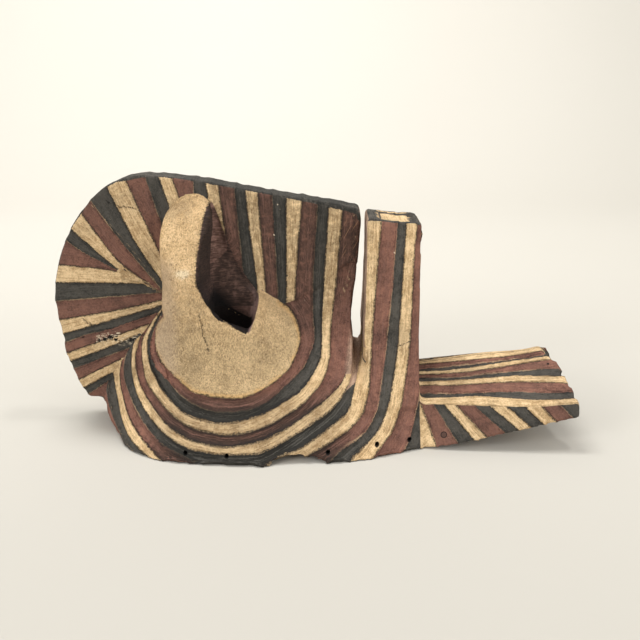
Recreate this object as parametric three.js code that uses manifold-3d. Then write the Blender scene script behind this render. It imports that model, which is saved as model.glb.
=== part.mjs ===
import * as THREE from 'three';
import { mergeVertices } from 'three/addons/utils/BufferGeometryUtils.js';
import Module from 'manifold-3d';

// A carved wooden kifwebe mask that lies face up on its rim, in millimetres.
// +X runs from the crown to the beard, +Z points out of the face,
// and the mask is the same on both sides of the plane y = 0, apart from one chip in the rim.

const wasm = await Module();
wasm.setup();

// Crest and nose: one upright board along the middle of the face
const crestHalf = 19;
const crestBevel = 3;
const crestFoot = 29; // height of the board's lower corner, behind the crown
const crownX = -235.5; // where the board leaves the shell
const noseX = 51.5; // free edge of the nose at its top
const noseFootX = 46;
const noseCorner = 8;

// Shell: the hollow face
const shellFrontX = -236.5;
const rimFrontX = -221;
const shellBackX = 71;
const wall = 15;
const bowlX = [rimFrontX + wall, 106];
const chinRoundX = 62; // from here the hollow narrows to the chin
const shellStations = 26;
const shellSteps = 13;

// Slot between nose and mouth
const slotFloor = 92;

// Mouth block
const mouthX = [56.5, 117.5];
const mouthTop = [236, 230];
const mouthCorner = 6;
const mouthHollow = { x: [74, 110], half: 27, depth: 4 };

// Beard: a low roof that reaches out from the chin
const beardX = [104, 285.5];
const beardTipX = 258.5; // end of the ridge, shorter than the corners
const beardRidges = 5; // carved bands on each half
const beardGroove = 1.5;
const beardWall = 20; // side wall of the beard, which is hollow below like the face

// Holes along the rim for the costume net
const rimHole = { radius: 2.2, depth: 60, at: [[-127, 8], [-84, 7.5], [19, 8], [70, 11], [105, 10]] };

const clamp = THREE.MathUtils.clamp;
const lerp = THREE.MathUtils.lerp;

// A smooth function through a few points given as [x, value]
function through(points) {
  const slope = points.map((p, i) => {
    const before = points[Math.max(i - 1, 0)];
    const after = points[Math.min(i + 1, points.length - 1)];
    return (after[1] - before[1]) / (after[0] - before[0]);
  });
  return (x) => {
    let i = points.findIndex((p) => p[0] >= x);
    if (i < 0) return points[points.length - 1][1];
    i = Math.max(i, 1);
    const [x0, y0] = points[i - 1];
    const [x1, y1] = points[i];
    const span = x1 - x0;
    const t = clamp((x - x0) / span, 0, 1);
    const a = y0 + t * t * (3 - 2 * t) * (y1 - y0);
    return a + span * t * (1 - t) * ((1 - t) * slope[i - 1] - t * slope[i]);
  };
}

// A closed mesh becomes a solid, with its faces turned outwards
function solid(geometry) {
  geometry.deleteAttribute('normal');
  geometry.deleteAttribute('uv');
  const merged = mergeVertices(geometry, 1e-3);
  const at = merged.attributes.position;
  const index = Array.from(merged.index.array);
  const corner = [new THREE.Vector3(), new THREE.Vector3(), new THREE.Vector3()];
  let volume = 0;
  for (let i = 0; i < index.length; i += 3) {
    corner.forEach((c, k) => c.fromBufferAttribute(at, index[i + k]));
    volume += corner[0].dot(corner[1].cross(corner[2]));
  }
  if (volume < 0) index.reverse();
  return new wasm.Manifold(new wasm.Mesh({
    numProp: 3,
    vertProperties: new Float32Array(at.array),
    triVerts: new Uint32Array(index),
  }));
}

// Rings of equal length joined into a tube, with both ends closed
function loft(rings, flat) {
  const count = rings[0].length;
  const index = [];
  for (let r = 0; r + 1 < rings.length; r++) {
    for (let i = 0; i < count; i++) {
      const j = (i + 1) % count;
      const a = r * count + i;
      const b = r * count + j;
      index.push(a, b, b + count, a, b + count, a + count);
    }
  }
  const last = (rings.length - 1) * count;
  const turned = THREE.ShapeUtils.isClockWise(rings[0].map(flat));
  const cap = (ring) => THREE.ShapeUtils.triangulateShape(ring.map(flat), []);
  for (const [a, b, c] of cap(rings[0])) index.push(...(turned ? [a, b, c] : [a, c, b]));
  for (const [a, b, c] of cap(rings[rings.length - 1])) {
    index.push(...(turned ? [last + a, last + c, last + b] : [last + a, last + b, last + c]));
  }
  const geometry = new THREE.BufferGeometry();
  const points = rings.flat().flatMap((p) => p.toArray());
  geometry.setAttribute('position', new THREE.Float32BufferAttribute(points, 3));
  geometry.setIndex(index);
  return solid(geometry);
}

const alongX = (p) => new THREE.Vector2(p.y, p.z);
const alongY = (p) => new THREE.Vector2(p.x, p.z);
const alongZ = (p) => new THREE.Vector2(p.x, p.y);

// Half an outline in y and z becomes a whole ring at one x
function ringAt(x, half) {
  const right = half.map(([y, z]) => new THREE.Vector3(x, y, z));
  const left = half.map(([y, z]) => new THREE.Vector3(x, -y, z)).reverse();
  return [...right, ...left];
}

// A prism through the mask from y0 to y1, drawn in x and z
function across(points, y0, y1) {
  const ring = (y) => points.map(([x, z]) => new THREE.Vector3(x, y, z));
  return loft([ring(y0), ring(y1)], alongY);
}

// Plan of the rim and the line where the shell meets the crest
const rimHalf = through([
  [shellFrontX, 12], [-232, 27], [rimFrontX, 44], [-209, 66], [-182, 107], [-142, 134],
  [-80, 143.5], [-40, 145], [22, 137], [80, 120], [117, 100],
]);
const crestLine = through([
  [shellFrontX, 28], [-226, 50], [-197, 94], [-164, 124], [-115, 134], [-40, 137],
  [0, 152], [40, 185],
]);
const fullness = through([
  [shellFrontX, 0.6], [-212, 0.7], [-182, 0.85], [-115, 0.95], [-40, 0.98], [0, 1.2], [40, 1.8],
]);
const lift = through([[shellFrontX, 22], [-232, 13], [rimFrontX, 0], [-200, 0]]);

// One cross-section of the shell: from the rim up to the crest
function shellRing(x, top, power) {
  const bottom = x < rimFrontX ? lift(x) : 0;
  const half = [];
  for (let i = 0; i <= shellSteps; i++) {
    const t = i / shellSteps;
    const y = (crestHalf - 1) + (rimHalf(x) - crestHalf + 1) * (1 - t) ** power;
    half.push([y, lerp(bottom, top, t)]);
  }
  return ringAt(x, half);
}

function shell() {
  const rings = [];
  for (let i = 0; i <= shellStations; i++) {
    const t = i / shellStations;
    const x = lerp(shellFrontX, noseFootX, t ** 1.25);
    rings.push(shellRing(x, crestLine(x), fullness(x)));
  }
  for (const x of [noseFootX + 2, mouthX[0] - 1, shellBackX]) rings.push(shellRing(x, slotFloor, 0.78));
  return loft(rings, alongX);
}

// Inner edge of the rim: one wall thickness inside its outer edge, and round at the chin
function bowlHalf(x) {
  let half = Infinity;
  for (let k = -10; k <= 10; k++) {
    const u = Math.max(x + (k / 10) * wall, rimFrontX);
    half = Math.min(half, rimHalf(u) - Math.sqrt(wall ** 2 - (x - u) ** 2));
  }
  const chin = clamp((x - chinRoundX) / (bowlX[1] + 2 - chinRoundX), 0, 1);
  return half * Math.sqrt(1 - chin ** 2);
}

// The wearer's side: a smooth bowl, open below
function bowl() {
  const height = through([
    [bowlX[0], 12], [-202, 40], [-184, 70], [-160, 89], [-124, 100], [-80, 103], [-34, 101],
    [6, 93], [36, 77], [56, 61], [76, 56], [96, 44], [bowlX[1], 20],
  ]);
  const rings = [];
  for (let i = 0; i <= 24; i++) {
    const x = lerp(bowlX[0], bowlX[1], (1 - Math.cos((i / 24) * Math.PI)) / 2);
    const outline = [[bowlHalf(x), -5]];
    for (let k = 0; k <= 8; k++) {
      const turn = (k / 8) * Math.PI / 2;
      const y = bowlHalf(x) * Math.cos(turn) ** 1.6;
      outline.push([Math.max(y, 1), height(x) * Math.sin(turn) ** 1.6]);
    }
    rings.push(ringAt(x, outline));
  }
  return loft(rings, alongX);
}

// The fan over the crown, the straight back of the crest and the nose, cut from one board
function crest() {
  const spline = (points) => points.map(([x, z]) => new THREE.Vector2(x, z));
  const edge = [
    [-263, 46], [-276, 82], [-281.5, 127], [-276, 174], [-257, 216], [-234, 247], [-205, 269],
  ];
  const shape = new THREE.Shape();
  shape.moveTo(crownX, crestFoot);
  shape.lineTo(-250, crestFoot);
  shape.splineThru(spline(edge));
  shape.splineThru(spline([[-170, 276], [-64, 262], [noseX - noseCorner - 4, 242]]));
  shape.quadraticCurveTo(noseX, 240, noseX, 240 - noseCorner);
  shape.lineTo(noseX - 2, 165);
  shape.lineTo(noseFootX, slotFloor);
  shape.lineTo(noseFootX - 4, 10);
  shape.lineTo(crownX + 12, 10);
  const board = new THREE.ExtrudeGeometry(shape, {
    depth: 2 * (crestHalf - crestBevel),
    curveSegments: 5,
    bevelThickness: crestBevel,
    bevelSize: crestBevel,
    bevelOffset: -crestBevel,
    bevelSegments: 2,
  });
  board.translate(0, 0, crestBevel - crestHalf);
  board.rotateX(Math.PI / 2);
  return solid(board);
}

// One horn-shaped eye, before its slit is cut: sloping rings near the shell, level ones in the hood.
// Each ring has its outermost point [y, z], its height on the middle plane and its ends in x.
const hornRings = [
  [103, 45, 148, -180, 2], [95, 54.5, 160, -170, -10], [86, 65, 158, -168, -14],
  [79.5, 80, 157, -166, -20], [75, 98, 157, -164, -27], [72.5, 118, 158, -162, -40],
  [71, 135, 160, -161, -54], [69.5, 150, 166, -160, -66], [68, 165, 175, -160, -76],
  [67, 180, 186, -161, -86], [66, 195, 198, -161, -93], [66, 210, 210, -161, -98],
  [66, 225, 225, -158, -103], [66, 237, 237, -155, -107], [66, 247, 247, -149, -110],
  [66, 255, 255, -139, -113], [66, 261, 261, -129, -120],
];

function horn(side) {
  const rings = hornRings.map(([reach, low, high, left, right]) => {
    const ring = [];
    for (let k = 0; k < 28; k++) {
      const turn = (k / 28) * Math.PI * 2;
      const out = (1 + Math.sin(turn)) / 2;
      const x = (left + right) / 2 - ((right - left) / 2) * Math.cos(turn);
      ring.push(new THREE.Vector3(x, side * reach * out, lerp(high, low, out)));
    }
    return ring;
  });
  // The flat oval face of the hood leans back towards the crest
  const face = [
    [69, 163], [48, 214], [35, 239], [26, 250], [19, 262], [19, 290], [120, 290], [120, 163],
  ];
  const faceRing = (x) => face.map(([y, z]) => new THREE.Vector3(x, side * y, z));
  return loft(rings, alongZ).subtract(loft([faceRing(-220), faceRing(-60)], alongX));
}

// The slit of the eye: open to the side, with a hole from its floor into the bowl
function slit(side) {
  const outline = (inner) => [
    [inner - 12, 249], [inner - 15, 205], [inner - 17, 165], [-104, 148], [-92, 131], [-79, 124],
    [-67, 117], [-60, 141], [-59, 152], [-72, 167], [-85, 189], [-92, 208],
  ];
  const ring = (inner, y) => outline(inner).map(([x, z]) => new THREE.Vector3(x, side * y, z));
  const cut = loft([ring(-90, crestHalf - 5), ring(-100, 70), ring(-100, 130)], alongY);
  const hole = [[-106, 14], [-63, 14], [-62, 36], [-70, 47], [-84, 55], [-97, 60], [-109, 60]];
  const holeRing = (z) => hole.map(([x, y]) => new THREE.Vector3(x, side * y, z));
  return cut.add(loft([holeRing(50), holeRing(148)], alongZ));
}

// The mouth block: narrow on top, spreading to the rim like the cheeks
function mouth() {
  const heights = [0, 30, 62, 93, 129, 186, 226, 240];
  const atNose = [129, 102, 76, 60, 50, 41.5, 37, 33];
  const atChin = [100, 81, 66, 56, 49, 41, 37, 33];
  const halves = [atNose, atChin].map((half) => heights.map((z, i) => [half[i], z]));
  const rings = halves.map((half, end) => ringAt(mouthX[end], half));
  const [x0, x1] = mouthX;
  const [z0, z1] = mouthTop;
  const outline = new THREE.Shape();
  outline.moveTo(x0, 0);
  outline.lineTo(x1, 0);
  outline.lineTo(x1, z1 - mouthCorner);
  outline.quadraticCurveTo(x1, z1, x1 - mouthCorner, z1 + 0.6);
  outline.lineTo(x0 + mouthCorner, z0 - 0.6);
  outline.quadraticCurveTo(x0, z0, x0, z0 - mouthCorner);
  const side = outline.getPoints(4).map((p) => [p.x, p.y]);
  const [h0, h1] = mouthHollow.x;
  const floor = z1 - mouthHollow.depth;
  const sunk = [[h0, floor + 4], [h1, floor], [h1, 260], [h0, 260]];
  const hollow = across(sunk, -mouthHollow.half, mouthHollow.half);
  return loft(rings, alongX).intersect(across(side, -150, 150)).subtract(hollow);
}

// The beard: a corrugated roof whose end is worn back towards the ridge
function beard() {
  const ridge = through([[beardX[0], 64], [147, 70], [192, 77], [237, 81], [beardTipX, 86]]);
  const eaveHalf = through([[beardX[0], 70], [150, 78], [200, 87], [beardX[1], 91]]);
  const eaveHeight = through([
    [beardX[0], 44], [150, 46], [200, 48], [245, 49], [beardX[1], 54],
  ]);
  const footHalf = through([[beardX[0], 96], [157, 101], [240, 100], [beardX[1], 98]]);
  const rise = through([
    [beardX[0], 0], [124, 0], [157, 6], [199, 16], [240, 26], [beardX[1], 36],
  ]);
  const foot = (x) => Math.max(rise(x), 0);
  const arch = through([[beardX[0], 0], [124, 0], [152, 28], [200, 35], [beardX[1], 29]]);
  const hollow = (x) => Math.max(arch(x), 0);
  const rings = [];
  for (let i = 0; i <= 10; i++) {
    const t = i / 10;
    const steps = 2 * beardRidges;
    const half = [];
    const place = (f) => lerp(beardX[0], lerp(beardTipX, beardX[1], f ** 0.8), t);
    for (let k = 0; k <= 6; k++) {
      const turn = (k / 6) * Math.PI / 2;
      const x = place(0.8 * Math.sin(turn));
      const y = Math.max((footHalf(x) - beardWall) * Math.sin(turn), 0.5);
      half.push([y, foot(x) + hollow(x) * Math.cos(turn), x]);
    }
    half.push([footHalf(place(1)), foot(place(1)), place(1) - 4 * t]);
    for (let k = steps; k >= 0; k--) {
      const f = k / steps;
      const x = place(f) - (k % 2 ? 0 : 3 * t);
      const z = lerp(ridge(x), eaveHeight(x), f) - (k % 2 ? 0 : beardGroove);
      half.push([Math.max(f * eaveHalf(x), 0.5), z, x]);
    }
    const right = half.map(([y, z, x]) => new THREE.Vector3(x, y, z));
    const left = half.map(([y, z, x]) => new THREE.Vector3(x, -y, z)).reverse();
    rings.push([...right, ...left]);
  }
  return loft(rings, alongX);
}

// Holes square to the slope, just above the rim
function rimHoles(side) {
  return rimHole.at.map(([x, z]) => {
    const drill = new THREE.CylinderGeometry(rimHole.radius, rimHole.radius, rimHole.depth, 8);
    drill.rotateX(side * Math.PI / 4);
    drill.translate(x, side * (rimHalf(x) - z), z);
    return solid(drill);
  });
}

// A piece of the rim is broken away on the side of negative y
function rimChip() {
  const outline = [[-37, -5], [-36, 5.5], [-18, 7.5], [2, 6], [14, 2], [20, -5]];
  return across(outline, -155, -122);
}

let mask = shell().add(crest()).add(mouth()).add(beard());
for (const side of [-1, 1]) mask = mask.add(horn(side));
mask = mask.subtract(bowl());
for (const side of [-1, 1]) {
  mask = mask.subtract(slit(side));
  for (const drill of rimHoles(side)) mask = mask.subtract(drill);
}
mask = mask.subtract(rimChip());

const result = mask.getMesh();
const geometry = new THREE.BufferGeometry();
geometry.setAttribute('position', new THREE.BufferAttribute(result.vertProperties, 3));
geometry.setIndex(new THREE.BufferAttribute(result.triVerts, 1));
geometry.computeVertexNormals();

const wood = new THREE.MeshStandardMaterial({ color: 0xb09468, roughness: 0.8, metalness: 0 });
const body = new THREE.Mesh(geometry, wood);
body.name = 'mask';
body.position.x = -0.9; // the middle of the length lies at x = 0

const group = new THREE.Group();
group.add(body);

export default group;
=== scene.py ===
import math
import bmesh
import bpy
import numpy as np
from mathutils import Matrix, Vector, kdtree, noise
from mathutils.bvhtree import BVHTree


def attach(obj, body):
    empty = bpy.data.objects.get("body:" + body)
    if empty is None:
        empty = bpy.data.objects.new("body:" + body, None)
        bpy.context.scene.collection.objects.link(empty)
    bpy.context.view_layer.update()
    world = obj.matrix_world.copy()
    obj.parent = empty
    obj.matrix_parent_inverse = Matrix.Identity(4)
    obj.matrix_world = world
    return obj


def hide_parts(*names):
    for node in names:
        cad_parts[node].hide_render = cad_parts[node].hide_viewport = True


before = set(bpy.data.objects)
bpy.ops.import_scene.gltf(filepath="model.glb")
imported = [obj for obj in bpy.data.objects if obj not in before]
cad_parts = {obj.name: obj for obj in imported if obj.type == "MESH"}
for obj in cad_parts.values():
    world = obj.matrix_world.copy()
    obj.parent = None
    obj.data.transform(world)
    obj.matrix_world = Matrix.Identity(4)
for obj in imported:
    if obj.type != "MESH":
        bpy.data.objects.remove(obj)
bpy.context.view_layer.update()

mm = 0.001

# All drawing below is in millimetres on the mask's side view: x runs from crown to beard, z up.


# Curves and fields

def smoothLine(points, steps=4, before=None, after=None):
    # Catmull-Rom through the given points, with straight run-outs at either end
    p = np.array(points, float)
    out = []
    for i in range(len(p) - 1):
        a, b, c, d = p[max(i - 1, 0)], p[i], p[i + 1], p[min(i + 2, len(p) - 1)]
        for k in range(steps if len(p) > 2 else 1):
            t = k / steps
            square, cube = 2 * a - 5 * b + 4 * c - d, 3 * b - a - 3 * c + d
            out.append(0.5 * (2 * b + (c - a) * t + square * t ** 2 + cube * t ** 3))
    out.append(p[-1])
    if before:
        out = [np.array(q, float) for q in before] + out
    if after:
        out = out + [np.array(q, float) for q in after]
    return np.array(out)


def through(points):
    # a smooth function through [x, value] pairs, flat past the ends
    p = np.array(points, float)
    xs, ys = p[:, 0], p[:, 1]
    lo = np.maximum(np.arange(len(p)) - 1, 0)
    hi = np.minimum(np.arange(len(p)) + 1, len(p) - 1)
    slope = (ys[hi] - ys[lo]) / (xs[hi] - xs[lo])

    def value(x):
        x = np.asarray(x, float)
        i = np.clip(np.searchsorted(xs, x), 1, len(xs) - 1)
        span = xs[i] - xs[i - 1]
        t = np.clip((x - xs[i - 1]) / span, 0, 1)
        a = ys[i - 1] + t * t * (3 - 2 * t) * (ys[i] - ys[i - 1])
        return a + span * t * (1 - t) * ((1 - t) * slope[i - 1] - t * slope[i])
    return value


def between(x, pairs):
    # straight lines through [x, value] pairs
    return np.interp(x, *np.array(pairs, float).T)


def smoothStep(a, b, x):
    t = np.clip((x - a) / (b - a), 0, 1)
    return t * t * (3 - 2 * t)


def lineDistance(points, line):
    # distance to an open line, and on which side of it a point lies (1 is left of the way it runs)
    best = np.full(len(points), 1e9)
    side = np.zeros(len(points))
    for a, b in zip(line[:-1], line[1:]):
        run = b - a
        away = points - a
        t = np.clip((away @ run) / max(run @ run, 1e-9), 0, 1)
        d = np.hypot(away[:, 0] - t * run[0], away[:, 1] - t * run[1])
        near = d < best - 1e-9
        best[near] = d[near]
        side[near] = np.sign(run[0] * away[near, 1] - run[1] * away[near, 0] + 1e-12)
    return best, side


def bandField(points, lines, outward):
    # which stripe a point lies in (whole part), how far across it (fraction), and its width in mm
    names = sorted({k for k, line in lines})
    best = np.full(len(points), 1e9)
    where = np.zeros(len(points), int)
    passed = np.zeros(len(points))
    dist = {k: np.full(len(points), 1e9) for k in names}
    for k, line in lines:
        d, side = lineDistance(points, line)
        dist[k] = np.minimum(dist[k], d)
        tie = np.abs(d - best) < 0.02
        near = (d < best - 0.02) | (tie & (side * outward > 0))
        best = np.where(d < best, d, best)
        where[near] = k
        passed[near] = side[near] * outward
    last = np.where(passed > 0, where, where - 1)
    table = np.stack([dist[k] for k in names])

    def away(line):
        return table[np.clip(line - names[0], 0, len(names) - 1), np.arange(len(points))]
    inner = np.where(last >= names[0], away(last), 40.0)
    outer = np.where(last < names[-1], away(last + 1), np.maximum(14.0 - inner, 1.0))
    wide = inner + outer
    return last + np.clip(inner / np.maximum(wide, 1e-6), 0, 0.999), wide


def insideShape(points, shape):
    # even-odd test against a closed outline
    within = np.zeros(len(points), bool)
    for a, b in zip(shape, np.roll(shape, -1, axis=0)):
        crosses = (a[1] > points[:, 1]) != (b[1] > points[:, 1])
        x = a[0] + (points[:, 1] - a[1]) / (b[1] - a[1] + 1e-12) * (b[0] - a[0])
        within ^= crosses & (points[:, 0] < x)
    return within


def shapeDistance(points, shape):
    # signed: negative inside the closed outline
    closed = np.vstack([shape, shape[:1]])
    d, side = lineDistance(points, closed)
    return np.where(insideShape(points, shape), -d, d)


# Camera

cameraSet = {
    "place": (17.6, -998, 400),
    "pitch": 16.0,
    "yaw": 0.5,
    "lens": 51.975,
}

camData = bpy.data.cameras.new("photoCamera")
camData.sensor_width = 36
camData.lens = cameraSet["lens"]
camera = bpy.data.objects.new("photoCamera", camData)
camera.location = [v * mm for v in cameraSet["place"]]
camera.rotation_euler = (math.radians(90 - cameraSet["pitch"]), 0, math.radians(cameraSet["yaw"]))
bpy.context.scene.collection.objects.link(camera)
bpy.context.scene.camera = camera
print("camera placed")


# The forms that the stripes follow

# Outlines lie in the side view. Other lists are pairs of a place along the mask, or up the slot, and
# a half width, height or shift there. A pull is a place in the side view and how far the surface moves.
form = {
    "boardHalf": 19,    # half the thickness of the board that runs over crown and nose
    "crestHalf": 18,    # half width at which the shell meets the board
    "rimHalf": [
        (-237.4, 12), (-232.9, 27), (-221.9, 44), (-209.9, 66), (-182.9, 107), (-142.9, 134),
        (-80.9, 143.5), (-40.9, 145), (21.1, 137), (79.1, 120), (116.1, 100)
    ],
    "crestLine": [
        (-237.4, 28), (-226.9, 50), (-197.9, 94), (-164.9, 124), (-115.9, 134), (-40.9, 137), (-0.9, 152),
        (39.1, 185)
    ],
    "fullness": [
        (-237.4, 0.6), (-212.9, 0.7), (-182.9, 0.85), (-115.9, 0.95), (-40.9, 0.98), (-0.9, 1.2),
        (39.1, 1.8)
    ],
    "slit": [
        (-107, 250), (-110, 245), (-111.5, 239), (-113, 232), (-114.5, 224), (-116, 212), (-117.5, 203),
        (-118.8, 195), (-119.4, 186), (-119.3, 176), (-117.8, 166.6), (-114, 160), (-111, 153.6),
        (-107.8, 147), (-104, 141.7), (-100, 136.4), (-95, 132.4), (-89, 129.5), (-84, 126.5),
        (-77.7, 122.7), (-69, 118), (-65, 119.5), (-61.3, 129.5), (-58.4, 139.5), (-58.2, 145.8),
        (-59.7, 152.6), (-62, 153.5), (-67, 160), (-72, 168), (-77, 175.6), (-81, 182.5), (-84.4, 187),
        (-87, 196.3), (-91.9, 208.6), (-95.6, 219.5), (-98.7, 229), (-101.7, 238.4), (-104.2, 245.1)
    ],
    "slitPulls": [
        (-109, 249, 4, 0), (-108, 240, 1.5, 0), (-113, 205, -3, 0), (-114, 188, -3, 0),
        (-116, 172, -1.5, 0), (-104, 148, -2.5, -2), (-58, 147, 3, 0), (-60, 139, 3.5, 0),
        (-63, 129, 3.5, 0), (-66, 119, 2, 0), (-146, 240, 0.8, -2), (-138, 249, 0.4, -3.6),
        (-128, 253, 0, -4), (-118, 253, 0, -3.5)
    ],
    "joint": [
        (-240, 12), (-234, 29), (-230, 46), (-225, 54), (-210, 75), (-199, 93), (-187, 104), (-163, 135),
        (-158, 142), (-150, 126)
    ],
    "board": [
        (-236, 27), (-252, 27), (-264, 46), (-276, 82), (-280, 104), (-282.4, 127), (-283, 150),
        (-278.6, 174.4), (-271, 196.5), (-262, 218), (-250.5, 233.4), (-238.5, 250), (-225, 262),
        (-207.5, 272), (-171, 278), (-120, 273), (-65, 262), (0, 250), (38.6, 242), (48, 239),
        (50.6, 231), (48.6, 165), (45, 92), (41, 10), (-224, 10)
    ],
    "boardTop": [
        (-262, 218), (-250.5, 233.4), (-238.5, 250), (-225, 262), (-207.5, 271.5), (-171, 277.5),
        (-145, 275), (-120, 271), (-65, 262), (0, 250), (38.6, 242), (48, 239), (50.6, 231)
    ],
    "ridge": [(103, 64), (146, 70), (191, 77), (236, 81), (257.6, 86)],
    "eaveHalf": [(103, 70), (149, 78), (199, 87), (284.6, 91)],
    "eaveHeight": [(103, 44), (149, 46), (199, 48), (244, 49), (284.6, 54)],
    "footHalf": [(103, 96), (156, 101), (239, 100), (284.6, 98)],
    "sideFoot": [(103, 0), (123, 0), (156, 6), (198, 16), (239, 26), (285, 36)],
    "mouthX": (55.6, 116.6),
    "slotX": 53.2,
    "bowlTop": [
        (-206.9, 12), (-202.9, 40), (-184.9, 70), (-160.9, 89), (-124.9, 100), (-80.9, 103), (-34.9, 101),
        (5.1, 93), (35.1, 77), (55.1, 61), (75.1, 56), (95.1, 44), (105.1, 20)
    ],
    "boardMargin": [
        (-262, -30), (-240, -4), (-225, 0.8), (-150, 0.3), (-110, 0.3), (-70, 1.0), (-20, 1.2), (38, 2.4)
    ],
    "slotMiddle": [(90, 53.2), (110, 52.4), (140, 53.3), (190, 54.7), (225, 55.7)],
    "noseEdge": [(99, 0), (116, -1.8), (140, -0.5), (190, 1.5), (225, 3)],
    "mouthEdge": [(112, 0), (140, 1), (190, 2.2), (235, 2.2)],
    "mouthPulls": [(110, 239, 4, 1), (115, 235, 5, 0), (117, 229, 3, 0), (118, 222, 0.5, 0)],
    "boardPulls": [
        (-251, 29, -1, -2.5), (-264, 46, 0, 0), (-271, 63, 1, 0.3), (-281, 104, 2.5, 0.3),
        (-282, 127, 0, 0), (-281, 150, -2, 0.3), (-277, 174, -1.6, 0.4), (-268, 195, -3.2, 1.5),
        (-258, 216, -3.9, 2.3), (-247, 231, -3.4, 2.5), (-235, 247, -3.5, 3.4), (-221, 258, -3.9, 5),
        (-206, 269, -1.5, 3), (-188, 274, -0.6, 2.9), (-171, 276, 0, 2.3), (-145, 274, 0.2, 2.3),
        (-120, 271, 0.5, 3), (-92, 266, 0.3, 2.2), (-65, 262, 0.2, 1.4), (-32, 256, 0.3, 1.6),
        (0, 250, 0.5, 3), (20, 246, 0.6, 3.6), (36, 243, 0.6, 3.6)
    ],
    "rimPulls": [
        (-205, 18, -3, 0), (-190, 8, -6, 0), (-175, 2, -7, 0), (-155, 2, -5, 0), (-132, 2, -2.5, 0)
    ],
    "merged": [
        (-213, 173.5), (-209.5, 177), (-196, 171.5), (-183, 162.8), (-181.5, 161), (-194, 161.8),
        (-205, 163)
    ],
}

rimHalf, crestLine, fullness = (through(form[n]) for n in ("rimHalf", "crestLine", "fullness"))
ridge, eaveHalf, eaveHeight = (through(form[n]) for n in ("ridge", "eaveHalf", "eaveHeight"))
footHalf, bowlTop, boardMargin = (through(form[n]) for n in ("footHalf", "bowlTop", "boardMargin"))


def roofHeight(x, half):
    # the beard's roof, from its ridge down to its eave
    return ridge(x) + (eaveHeight(x) - ridge(x)) * np.clip(half / eaveHalf(x), 0, 1)


def shellHalf(x, z):
    # half width of the face's outer surface at this height
    t = np.clip(z / crestLine(x), 0, 1)
    return form["crestHalf"] + (rimHalf(x) - form["crestHalf"]) * (1 - t) ** fullness(x)


# The painted stripes

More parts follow.
